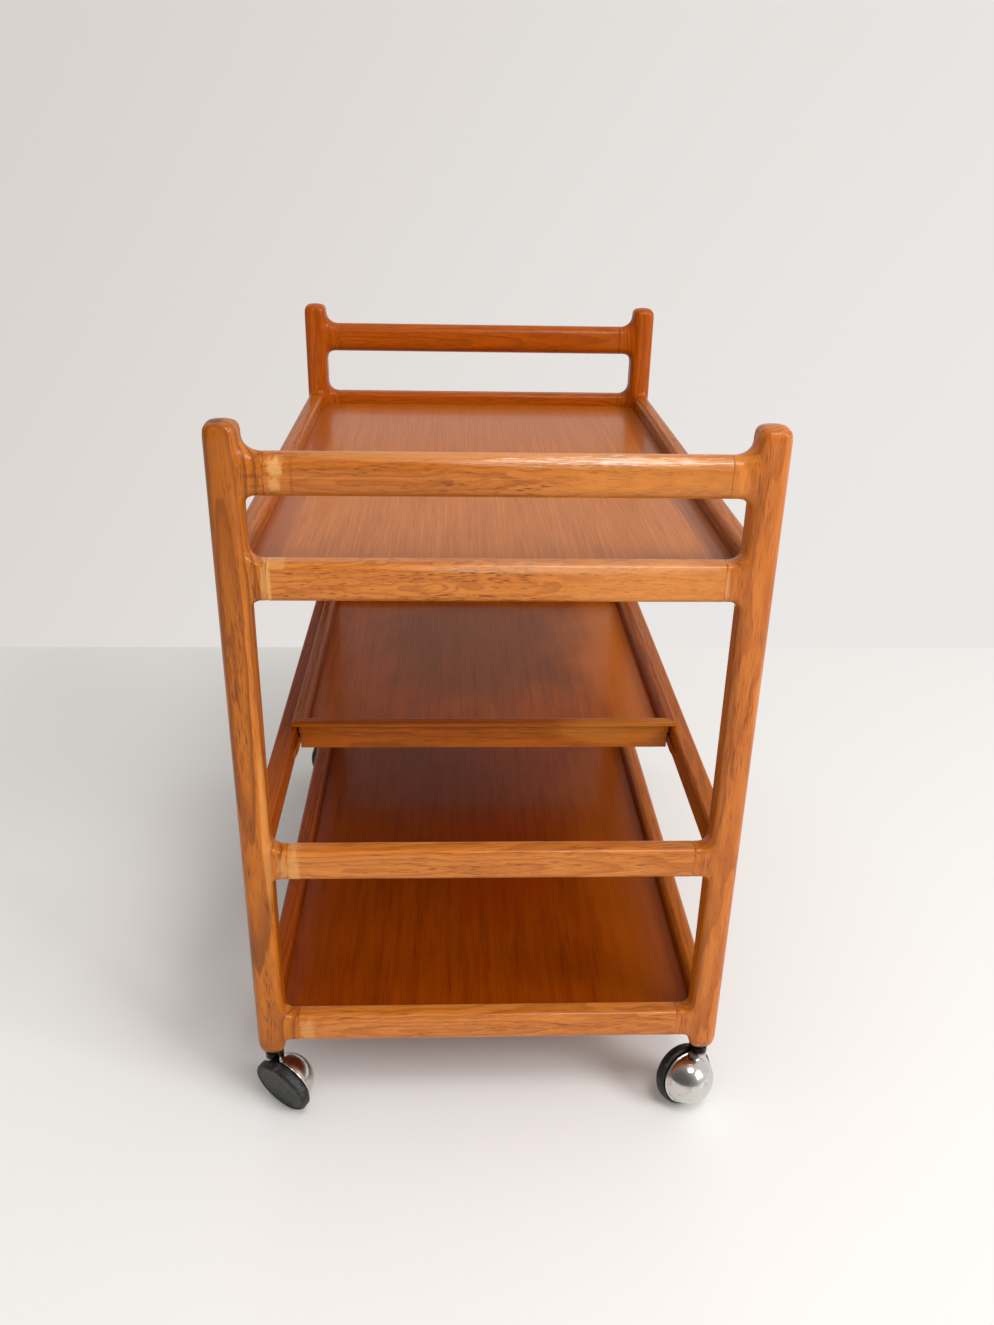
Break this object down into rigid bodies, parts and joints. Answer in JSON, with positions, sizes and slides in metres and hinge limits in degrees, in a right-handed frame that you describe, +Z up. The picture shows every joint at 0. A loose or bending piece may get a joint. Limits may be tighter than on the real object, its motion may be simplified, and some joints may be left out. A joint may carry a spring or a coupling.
{
  "type": "serving trolley",
  "caption": "Wooden serving trolley with fixed shelves, a loose sliding tray between them, rounded end handles and ball castors with tilted wheels.",
  "frame": {"origin": "on the floor, under the middle of the frame", "axes": "+X to the right and +Y away, seen from the near end; +Z up; the shelves run along Y"},
  "size_m": [0.4894, 0.7158, 0.689],
  "materials": {
    "lacquered_hardwood": "satin lacquer",
    "shelf_veneer": "satin lacquer",
    "tray_veneer": "satin lacquer",
    "dowel_beech": "plain",
    "castor_chrome": "polished, lightly worn",
    "castor_steel": "turned",
    "wheel_plastic": "moulded",
    "tyre_rubber": "matt",
    "screw_brass": "turned"
  },
  "bodies": {
    "frame": {"frame_dowels": "dowel_beech", "post_near_left": "lacquered_hardwood", "post_near_right": "lacquered_hardwood", "post_far_left": "lacquered_hardwood", "post_far_right": "lacquered_hardwood", "handle_rail_near": "lacquered_hardwood", "handle_rail_far": "lacquered_hardwood", "top_end_rail_near": "lacquered_hardwood", "top_end_rail_far": "lacquered_hardwood", "middle_end_rail_near": "lacquered_hardwood", "middle_end_rail_far": "lacquered_hardwood", "bottom_end_rail_near": "lacquered_hardwood", "bottom_end_rail_far": "lacquered_hardwood", "top_side_rail_left": "lacquered_hardwood", "top_side_rail_right": "lacquered_hardwood", "middle_side_rail_left": "lacquered_hardwood", "middle_side_rail_right": "lacquered_hardwood", "bottom_side_rail_left": "lacquered_hardwood", "bottom_side_rail_right": "lacquered_hardwood", "top_shelf_panel": "shelf_veneer", "bottom_shelf_panel": "shelf_veneer", "tray_runner_left": "lacquered_hardwood", "tray_runner_right": "lacquered_hardwood", "runner_screws": "screw_brass", "castor_near_left_socket": "castor_steel", "castor_near_right_socket": "castor_steel", "castor_far_left_socket": "castor_steel", "castor_far_right_socket": "castor_steel"},
    "tray": {"tray_end_rail_near": "lacquered_hardwood", "tray_end_rail_far": "lacquered_hardwood", "tray_side_rail_left": "lacquered_hardwood", "tray_side_rail_right": "lacquered_hardwood", "tray_panel": "tray_veneer", "tray_mitre_keys": "dowel_beech"},
    "swivel_near_left": {"castor_near_left_stem": "castor_steel", "castor_near_left_hood": "castor_chrome", "castor_near_left_axle": "castor_steel"},
    "wheel_near_left": {"castor_near_left_wheel": "wheel_plastic", "castor_near_left_tyre": "tyre_rubber"},
    "swivel_near_right": {"castor_near_right_stem": "castor_steel", "castor_near_right_hood": "castor_chrome", "castor_near_right_axle": "castor_steel"},
    "wheel_near_right": {"castor_near_right_wheel": "wheel_plastic", "castor_near_right_tyre": "tyre_rubber"},
    "swivel_far_left": {"castor_far_left_stem": "castor_steel", "castor_far_left_hood": "castor_chrome", "castor_far_left_axle": "castor_steel"},
    "wheel_far_left": {"castor_far_left_wheel": "wheel_plastic", "castor_far_left_tyre": "tyre_rubber"},
    "swivel_far_right": {"castor_far_right_stem": "castor_steel", "castor_far_right_hood": "castor_chrome", "castor_far_right_axle": "castor_steel"},
    "wheel_far_right": {"castor_far_right_wheel": "wheel_plastic", "castor_far_right_tyre": "tyre_rubber"}
  },
  "joints": [
    {"name": "tray_slide", "type": "slide", "parent": "frame", "child": "tray", "axis": [0, -1, 0], "range_m": [0, 0.196]},
    {"name": "castor_near_left_swivel", "type": "hinge", "parent": "frame", "child": "swivel_near_left", "pos_m": [-0.21, -0.323, 0.072], "axis": [0, 0, 1], "continuous": true},
    {"name": "castor_near_left_spin", "type": "hinge", "parent": "swivel_near_left", "child": "wheel_near_left", "pos_m": [-0.20259, -0.33246, 0.03032], "axis": [0.5577, 0.7965, 0.2334], "continuous": true},
    {"name": "castor_near_right_swivel", "type": "hinge", "parent": "frame", "child": "swivel_near_right", "pos_m": [0.21, -0.323, 0.072], "axis": [0, 0, 1], "continuous": true},
    {"name": "castor_near_right_spin", "type": "hinge", "parent": "swivel_near_right", "child": "wheel_near_right", "pos_m": [0.1981, -0.32469, 0.03032], "axis": [0.4109, -0.8813, 0.2334], "continuous": true},
    {"name": "castor_far_left_swivel", "type": "hinge", "parent": "frame", "child": "swivel_far_left", "pos_m": [-0.21, 0.323, 0.072], "axis": [0, 0, 1], "continuous": true},
    {"name": "castor_far_left_spin", "type": "hinge", "parent": "swivel_far_left", "child": "wheel_far_left", "pos_m": [-0.22061, 0.31734, 0.03032], "axis": [0.6876, -0.6876, 0.2334], "continuous": true},
    {"name": "castor_far_right_swivel", "type": "hinge", "parent": "frame", "child": "swivel_far_right", "pos_m": [0.21, 0.323, 0.072], "axis": [0, 0, 1], "continuous": true},
    {"name": "castor_far_right_spin", "type": "hinge", "parent": "swivel_far_right", "child": "wheel_far_right", "pos_m": [0.2203, 0.3292, 0.03032], "axis": [-0.7226, 0.6506, 0.2334], "continuous": true}
  ]
}
